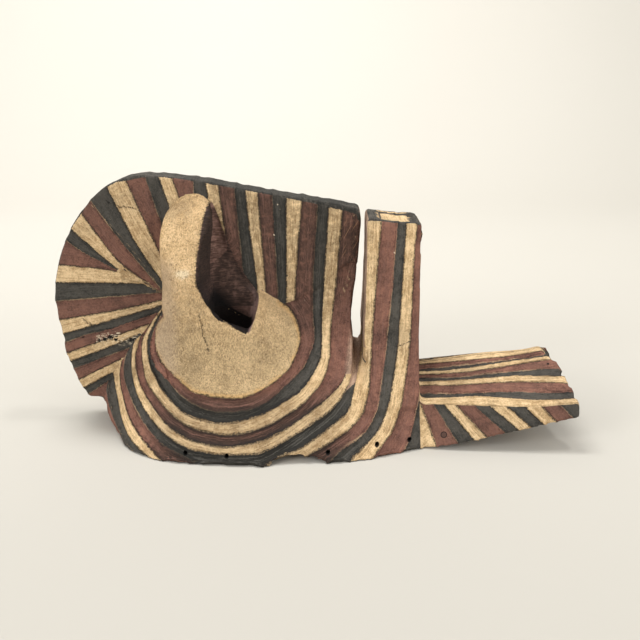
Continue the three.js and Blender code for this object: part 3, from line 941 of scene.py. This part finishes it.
woodGrain, handWear, toolMarks = makeWoodGrain(), makeHandWear(), makeToolMarks()


# Painted wood

finish = {              # pairs are the light and the dark end of one paint
    "cream": [(240, 209, 162), (172, 140, 98)],
    "hood": [(243, 209, 160), (188, 154, 108)],
    "skirt": [(226, 196, 150), (154, 130, 94)],
    "red": [(143, 100, 83), (74, 48, 41)],
    "black": [(85, 80, 72), (27, 27, 24)],
    "slit": [(168, 130, 116), (104, 77, 68)],
    "gap": [(196, 164, 140), (138, 112, 94)],
    "bareEdge": (176, 150, 116),
    # dirt, grime and pores, and painted shade along the cream's edges
    "dirtAndShade": (36, 30, 25),
    "rubbedEdge": (104, 96, 87),
    "eyeRim": (222, 176, 112),
    "neck": (176, 156, 136),
    # dirt from handling on the crest, and painted shade low on the face
    "patinaAndShade": (26, 25, 20),
    "flecks": (230, 214, 184),
    "specks": (104, 78, 52),
    "hoodFlecks": (240, 220, 182),
    "patch": (240, 224, 190),       # pale patch on the hood above the eye
    "patchPlace": (-134, -61, 307),     # mm, with z stretched by 1.7
    "litLowWall": (138, 108, 98),      # painted light on the foot of the board, seen through the slit
    # painted light on the wall at the slit's right end
    "litLip": (170, 138, 128),
    "noseScratch": (176, 132, 98),
    "paintedSheen": [(94, 90, 83), (140, 101, 87)],    # painted highlight on black, on red
    "plug": (66, 50, 44),
    # painted shade in holes, worm pits and cracks, and the dark seam round a plug
    "hollowShadeAndSeam": (16, 13, 11),
    # painted shade deep in the socket and down the slit
    "shade": (8, 6, 6),
    "wobble": 1.7,      # mm that a painted edge strays
    "roughness": 0.86,
}


def linesFor(ink):
    # the line before each stripe: dark where cream meets a colour, pale where red meets black
    marks = [(1, 0, 0, 1)]
    for a, b in zip(ink[:-1], ink[1:]):
        marks.append((1, 0, 0, 1) if "c" in (a, b) else (0, 1, 0, 1))
    return marks + [(0, 0, 0, 1)]


def inksFor(ink):
    return [{"c": (1, 0, 0, 1), "r": (0, 1, 0, 1), "k": (0, 0, 1, 1)}[c] for c in ink]


def makePaintedWood():
    made, tree, place = newFinish("paintedWood")
    x, y, z = split(place)
    half = abs(y)
    aboveJoint, slotPlace, up = (field(tree, n) for n in ("aboveJoint", "slotPlace", "up"))
    slitGap, edgeGap = field(tree, "slitGap"), field(tree, "edgeGap")

    # the parts that carry different stripes
    beard = x > form["mouthX"][1] - 0.7
    face = 1 - beard
    board = (half < form["boardHalf"] + 0.9) * (slotPlace < 0.0) * (aboveJoint > 0.0) * face
    beardTop = beard * (field(tree, "pastEave") < 0.2) * (field(tree, "aboveRoof") > -7)
    beardSide = beard - beardTop
    chinSide = x > -60

    # which stripe, and how far across it
    rough = grainNoise(place, 0.6, 2, 0.65)
    stray = (grainNoise(place, 0.12, 2) + rough * 1.5 - 1.25) * finish["wobble"]
    band, wide = field(tree, "ringBand"), field(tree, "ringWide")
    for zone, name in ((board, "crest"), (beardSide, "side"), (beardTop, "top")):
        band = pick(zone, band, field(tree, name + "Band"))
        wide = pick(zone, wide, field(tree, name + "Wide"))
    band = band + stray / wide
    across = calc("FRACT", band)
    toLine = least(across, 1 - across) * wide
    nearest = calc("FLOOR", band + 0.5)

    def coded(value, maker, nudge):
        def part(ink, shift):
            marks = maker(ink)
            return steps((value + (shift + nudge)) / len(marks), marks)
        out = blend(chinSide, part(ringInk["crown"], 1.0), part(ringInk["chin"], 1.0))
        turn = (value + nudge) % 3.0
        crestMarks = inksFor("rkc") if maker is inksFor else [(1, 0, 0, 1), (0, 1, 0, 1), (1, 0, 0, 1)]
        out = blend(board, out, steps(turn / 3.0, crestMarks))
        out = blend(beardSide, out, part(sideInk, 0.0))
        return blend(beardTop, out, part(beardBands["ink"], 0.0))

    cream, red, black = split(coded(band, inksFor, 0.0), "SeparateColor")
    darkLine, paleLine = split(coded(nearest, linesFor, 0.5), "SeparateColor")[:2]
    ringZone = face * (1 - board)
    eye = ringZone * (band < 0.0)

    # places with a finish of their own
    smear = grainNoise(place, 0.16, 3, 0.6)
    ragged = rough * 3.0 - 1.5
    rimFace = (field(tree, "flank") + ragged * 0.05 < 0.5) * (edgeGap < 9) * (x < 30)
    boardEdge = board * most(rimFace, edgeGap + ragged * 0.9 < 0.0)
    mouthTop = (slotPlace > 0.0) * face * (z > 221) * (up + ragged * 0.05 > 0.55)
    dishEdge = smear * 16 + ragged * 2.0 - 8
    dished = (x + dishEdge > 72) * (x + dishEdge < 106) * (half + dishEdge * 0.6 < 30)
    mouthDish = mouthTop * dished * (up > 0.8)
    gapFace = (field(tree, "slotFace") > 0.5) * face
    slit = most(slitGap + ragged * 0.8 < 0.5, field(tree, "covered") > 0.5)
    # the eye's socket, later given painted shade
    socket = (half < 58.0) * (x > -116) * (x < -55) * (z < 104) * (z > 40)
    foot = z + ragged * 0.6 < 0.8
    joined = board * (field(tree, "merged") + ragged * 0.3 < 0.0)
    for zone, ink in ((joined, 0), (boardEdge, 2), (mouthTop, 2), (mouthDish, 0), (foot, 2)):
        keep = 1 - zone
        inks = [v * keep for v in (cream, red, black)]
        inks[ink] = most(inks[ink], zone)
        cream, red, black = inks
    leftBare = (x > 30) * (slotPlace < 2.5) * (band > 2.99) * (band < 6.0) * ringZone
    fromGroove = x - z * 0.16 + ragged * 1.4
    grooveTop = rise(fromGroove, 21.5, 28.0)
    grooveLow = pick(band > 4.0, rise(z, 66, 84), z + ragged > 72)
    grooveLow = pick(band > 5.0, grooveLow, z + ragged - x * 0.6 > 35)
    groove = leftBare * grooveLow * most(grooveTop, band > 4.0)
    boardGroove = board * rise(fromGroove, 24.0, 31.0) * rise(z, 108, 84)
    gap = most(gapFace, groove, boardGroove)
    plain = 1 - most(slit, joined, gap, boardEdge, mouthTop)

    # brush and knife follow the stripe
    acrossMm = across * wide
    strokes = combine(tree, acrossMm, acrossMm * 0.7, nearest)
    along = put(tree, "VectorMath", {0: stretch(place, 0.06, 0.06, 0.06), 1: strokes}, operation="ADD")
    streak = grainNoise(along, 0.7, 4, 0.72)
    wood = useGroup(tree, woodGrain, Place=place, Fibre=0.9)
    wear = useGroup(tree, handWear, Place=place, Size=0.021, Seed=4.0)
    blade = useGroup(tree, toolMarks, Place=place, Length=0.045, Width=0.12)
    fleck = grainNoise(place, 0.5, 4, 0.8)
    pits = rise(grainNoise(stretch(place, 1.0, 1.0, 0.6), 0.55, 3, 0.8), 0.57, 0.66)
    blotch = grainNoise(place, 0.05, 4, 0.65)

    def lay(mask, name):
        # one of the finish's tones over the colour so far
        nonlocal colour
        colour = blend(mask, colour, paint(*finish[name]))

    def twoTone(pair, mask):
        return blend(mask, paint(*finish[pair][0]), paint(*finish[pair][1]))

    aged = rise(streak * 0.5 + blotch * 0.25 + smear * 0.2 + fleck * 0.35, 0.55, 0.76)
    colour = blend(red, twoTone("cream", aged), twoTone("red", aged))
    colour = blend(black, colour, twoTone("black", aged))
    tuft = grainNoise(stretch(place, 1.0, 1.0, 0.45), 0.95, 4, 0.75, 0.6)
    hoodTone = rise(tuft * 0.75 + fleck * 0.15 + blotch * 0.2 + smear * 0.15, 0.5, 0.74)
    lower = rise(z + blotch * 60, 205, 120)
    hoodInk = blend(lower, twoTone("hood", hoodTone), twoTone("skirt", hoodTone))
    colour = blend(eye, colour, hoodInk)
    colour = blend(gap, colour, twoTone("gap", aged))
    chisel = grainNoise(stretch(place, 0.1, 0.1, 1.3), 0.8, 3, 0.7, 0.4)
    colour = blend(slit, colour, twoTone("slit", rise(chisel + smear * 0.4, 0.58, 0.8)))
    # painted light: a lighter tone on the foot of the board, seen through the slit
    litLowWall = slit * rise(z + smear * 16, 158, 132) * (half < 16.5)
    lay(litLowWall * 0.7, "litLowWall")
    # painted light: a lighter tone on the wall at the slit's right end
    litLipWall = slit * rise(slitGap + smear * 2, -6, -4.5) * rise(x, -72, -68) * rise(z, 114, 120)
    litLipWall = litLipWall * rise(z, 162, 152)
    lay(litLipWall * 0.85, "litLip")
    # painted shade: near black deep down the slit, under its lower lip and inside the socket behind the
    # eye
    depth = rise(z + x * 1.1 + smear * 18, 62, 38)
    lowerLipShade = rise(slitGap, -3.5, -1.5) * rise(z, 150, 138) * rise(x, -64, -68)
    within = (half < 45.0) * (half > 17.0) * (x > -114) * (x < -66) * (z < 132) * (z > 60)
    shade = most(socket, within, slit * most(depth, lowerLipShade))

    # tan rim of the eye, paint worn to wood on the ridges, dirt and painted shade along the cream,
    # painted shade low on the face, painted sheen on the dark stripes
    rim = eye * rise(toLine, 5.0, 1.0) * (band > -0.5) * rise(blotch + smear * 0.5, 0.56, 0.78)
    lay(rim * 0.6, "eyeRim")
    hair = grainNoise(stretch(place, 0.2, 0.2, 1.3), 0.8, 2, 0.7)
    lipHair = eye * rise(slitGap - hair * 11.0 + 4.5, 0.3, -0.2) * rise(z, 150, 172) * (x < -96)
    lay(lipHair * 0.85, "dirtAndShade")
    neck = eye * rise(x + smear * 12, -128, -146) * rise(z, 206, 176)
    lay(neck * 0.45, "neck")
    patch = rise(distance(stretch(place, 1, 1, 1.7), finish["patchPlace"]) + tuft * 30, 24, 20)
    lay(patch * eye * 0.6, "patch")
    gaps = rise(grainNoise(along, 0.4, 3, 0.65), 0.46, 0.6)
    pale = paleLine * rise(toLine, 0.8, 0.25) * gaps * plain
    lay(pale * 0.8, "bareEdge")
    # painted shade: the low front of the face darker towards the rim, under the eye
    lowShade = ringZone * (1 - eye) * rise(z + smear * 26, 84, 54) * rise(x, 60, 15) * rise(x, -178, -140)
    lay(lowShade * pick(cream, 0.84, 0.29), "patinaAndShade")
    pastCrown = rise(x, -125, -100)
    handled = pick(pastCrown, 0.16, rise(smear + streak * 0.5, 0.45, 0.8) * 0.36)
    handled = handled + (1 - cream) * pick(pastCrown, 0.14, 0.36)
    besideNose = ringZone * (1 - eye) * (slotPlace < 0.0) * (x > -60) * rise(aboveJoint, -95, 5)
    lay(most(most(board, besideNose) * handled, beardSide * pick(cream, 0.26, 0.1)), "patinaAndShade")
    inGroove = rise(x, 38, 44) * rise(x, 70, 66) * rise(z, 122, 114) * rise(z, 42, 50)
    plain = plain * (1 - inGroove * ringZone * (band > 4.4) * (band < 6.6))
    # dirt and painted shade in the crease along each cream stripe's edge, painted shade in the groove
    # beside it
    dark = darkLine * cream * rise(toLine + fleck * 9.0 - 3.9, 1.7, 0.6) * plain
    lay(dark * 0.85, "dirtAndShade")
    grooveShade = darkLine * (1 - cream) * rise(toLine + smear * 3.0 - 0.9, 1.6, 0.8) * plain
    lay(grooveShade * 0.85, "dirtAndShade")
    # painted highlight along the middle of the black and red stripes
    paintedSheen = (1 - cream) * rise(toLine, 1.5, 3.5) * rise(streak, 0.46, 0.62) * plain
    paintedSheen = paintedSheen * pick(ringZone, 0.5, 0.7)
    colour = blend(paintedSheen, colour, twoTone("paintedSheen", red))
    specks = rise(grainNoise(stretch(place, 1.0, 1.0, 0.7), 0.6, 3, 0.8), 0.6, 0.7)
    lay(specks * cream * (1 - eye) * 0.6, "specks")
    lay(pits * eye * 0.55, "specks")
    chips = (1 - cream) * (1 - slit) * rise(grainNoise(place, 0.6, 3, 0.8), 0.7, 0.76) * 0.6
    lay(chips, "flecks")
    paleFlecks = eye * (1 - slit) * rise(grainNoise(place, 0.55, 3, 0.8), 0.63, 0.72) * 0.6
    lay(paleFlecks, "hoodFlecks")
    lay(wear["Rubbed"] * most(boardEdge, mouthTop * black) * 0.6, "rubbedEdge")
    lay(wear["Grime"] * 0.28, "dirtAndShade")
    lay(wood["Pores"] * 0.3, "dirtAndShade")

    # holes, plugs, worm pits and cracks, with painted shade in the hollows, in the socket and down the
    # slit
    pit = nearestMark(place, damage["pits"])
    splinter = grainNoise(stretch(place, 0.3, 1, 1), 0.8, 3, 0.75)
    torn = board * rise(pit, 6.0, 2.5) * rise(splinter, 0.53, 0.6) * (x < -190) * (x > -240)
    lay(torn * 0.7, "flecks")
    pit = rise(pit + splinter * 9 + ragged * 0.8 - 4.4, 0.5, -0.4) * board
    chip = nearestMark(place, damage["chips"])
    lay(rise(chip + ragged * 0.9, 0.3, -0.3), "flecks")
    cut = rise(field(tree, "scratch") + ragged * 0.3, 0.75, 0.3) * gaps
    lay(cut * 0.7, "bareEdge")
    plan = combine(tree, x, 0.0, z)
    holes = [((hx, 0, hz), damage["holeSize"]) for hx, hz in damage["holes"]]
    hole = rise(nearestMark(plan, holes), 0.4, -0.1) * ringZone
    plug = nearestMark(place, damage["plugs"])
    plugRing = rise(plug, -0.9, -0.2) * rise(plug, 0.5, 0.0)
    crackFade = most(rise(z, 84, 108), x < -150, x > 80)
    fromCrack = abs(field(tree, "crackSide") + ragged * 1.5 + smear * 7.0 - 3.5)
    crack = rise(fromCrack, 0.8, 0.3) * rise(field(tree, "crackNear"), 4.5, 3.5)
    crack = crack * rise(fleck, 0.42, 0.52) * crackFade
    lay(rise(plug, 0.2, -0.4) * 0.75, "plug")
    # painted shade: near black in the holes, worm pits and cracks, and on the plug's seam
    lay(most(pit, hole, plugRing, crack * 0.85), "hollowShadeAndSeam")
    # painted shade deep in the socket and down the slit
    lay(shade * 0.96, "shade")
    nose = board * (x > 31) * (z > 105) * red
    turned = {"Vector": place, "Axis": (0, 1, 0), "Angle": math.radians(62)}
    slant = put(tree, "VectorRotate", turned, rotation_type="AXIS_ANGLE")
    scratch = nose * rise(grainNoise(stretch(slant, 0.035, 0.5, 0.9), 1.0, 2, 0.6), 0.6, 0.68)
    lay(scratch * 0.5, "noseScratch")

    height = streak + wood["Grain"] * 0.25 - wood["Pores"] * 0.12 + chisel * slit
    height = height + eye * (blade["Scoop"] * 0.8 - pits * 0.5 + fleck * 1.1)
    height = height + fleck * (cream * 1.1 + (1 - cream) * 0.4)
    height = height - rise(toLine, 1.4, 0.3) * darkLine * cream * 0.7
    height = height + rise(toLine + fleck * 2.4 - 1.2, 0.2, 1.1) * cream * (1 - eye) * plain * 0.9
    height = height + rise(toLine, 1.5, 0.2) * ringZone * (1 - eye) * (1 - gap) * 0.45
    height = height - rise(toLine, 0.8, 0.1) * most(board, beardSide) * plain * 0.45
    height = height - most(pit, crack) * 0.9 - hole * 2.5
    shine = black * -0.14 - red * 0.06 + streak * 0.1 + finish["roughness"]
    finishWith(tree, colour, shine, height, 0.3)
    return made


inner = {
    "wood": [(150, 116, 80), (106, 78, 52)],
    "dark": (58, 42, 32),
    "soot": (30, 24, 20),     # darker towards the brow, from wear
    "roughness": 0.9,
}


def makeBareWood():
    made, tree, place = newFinish("bareWood")
    wood = useGroup(tree, woodGrain, Place=place, Fibre=0.6)
    wear = useGroup(tree, handWear, Place=place, Size=0.014, Seed=31.0)
    blade = useGroup(tree, toolMarks, Place=place, Length=0.035, Width=0.085)
    colour = blend(rise(wood["Grain"], 0.35, 0.65), paint(*inner["wood"][0]), paint(*inner["wood"][1]))
    for mask in (wear["Grime"] * 0.6, wood["Pores"] * 0.5, rise(blade["Scoop"], 0.45, 0.9) * 0.35):
        colour = blend(mask, colour, paint(*inner["dark"]))
    deepIn = rise(split(place)[2], 25, 85)
    colour = blend(deepIn * 0.72, colour, paint(*inner["soot"]))
    height = wood["Grain"] * 0.4 + blade["Scoop"] * 1.2 - wood["Pores"] * 0.25 - blade["Tear"] * 0.2
    finishWith(tree, colour, wear["Rubbed"] * -0.15 + inner["roughness"], height, 0.25)
    return made


made.materials.clear()
made.materials.append(makePaintedWood())
made.materials.append(makeBareWood())
isInside = chart["inside"] > 0.5
for p in made.polygons:
    p.material_index = 1 if all(isInside[v] for v in p.vertices) else 0
print("finishes made")


# Floor, lights and backdrop

studio = {
    "floor": (197, 193, 184),
    "world": (1.0, 0.985, 0.965),
    "worldStrength": 0.65,
    "sweep": 1.5,       # m from the mask to where the floor starts to rise
    "bend": 1.2,        # m, radius of the rise
    "wallTop": 5.0,
    "floorHalf": 6.0,
    "lamps": [          # place in m, aim in m, size in m, watts
        ((0.72, 0.0, 2.5), (0, 0, 0.1), 0.3, 11),
        ((1.9, 0.1, 2.0), (0.1, 0, 0.1), 0.9, 3),
        ((-1.9, -1.9, 1.1), (0, 0, 0.1), 1.2, 39),
        ((1.9, -1.7, 0.55), (0, 0, 0.1), 1.6, 23),
        ((-0.6, 0.7, 2.6), (-0.1, 2.6, 0.9), 1.6, 84),
    ],
}


def makeSweep():
    # floor that curves up into a wall
    bm = bmesh.new()
    start, bend, side = studio["sweep"], studio["bend"], studio["floorHalf"]
    profile = [(-3.0, 0.0), (start, 0.0)]
    for k in range(1, 13):
        a = math.radians(90 * k / 12)
        profile.append((start + bend * math.sin(a), bend * (1 - math.cos(a))))
    profile.append((start + bend, studio["wallTop"]))
    rows = [[bm.verts.new((sx, py, pz - 0.0002)) for sx in (-side, side)] for py, pz in profile]
    for a, b in zip(rows[:-1], rows[1:]):
        bm.faces.new((a[0], a[1], b[1], b[0]))
    mesh = bpy.data.meshes.new("paleSweep")
    bm.to_mesh(mesh)
    bm.free()
    for p in mesh.polygons:
        p.use_smooth = True
    sweep = bpy.data.objects.new("paleSweep", mesh)
    bpy.context.scene.collection.objects.link(sweep)
    made = bpy.data.materials.new("palePaper")
    made.use_nodes = True
    tree = made.node_tree
    shader = tree.nodes["Principled BSDF"]
    mottle = grainNoise(put(tree, "TexCoord", out="Object"), 1.2, 2)
    r, g, b, a = paint(*studio["floor"])
    join(blend(mottle, (r, g, b, 1), (r * 0.97, g * 0.97, b * 0.96, 1)), shader.inputs["Base Color"])
    shader.inputs["Roughness"].default_value = 0.9
    mesh.materials.append(made)


makeSweep()
for k, (where, aim, size, watts) in enumerate(studio["lamps"]):
    data = bpy.data.lights.new("softLamp%d" % k, "AREA")
    data.shape, data.size, data.energy = "DISK", size, watts
    lamp = bpy.data.objects.new("softLamp%d" % k, data)
    lamp.location = where
    lamp.rotation_euler = (Vector(aim) - Vector(where)).to_track_quat("-Z", "Y").to_euler()
    bpy.context.scene.collection.objects.link(lamp)
world = bpy.data.worlds.new("softRoom")
world.use_nodes = True
sky = world.node_tree.nodes["Background"]
sky.inputs[0].default_value = (*studio["world"], 1)
sky.inputs[1].default_value = studio["worldStrength"]
bpy.context.scene.world = world
bpy.context.scene.view_settings.view_transform = "Standard"
print("floor and lamps set")
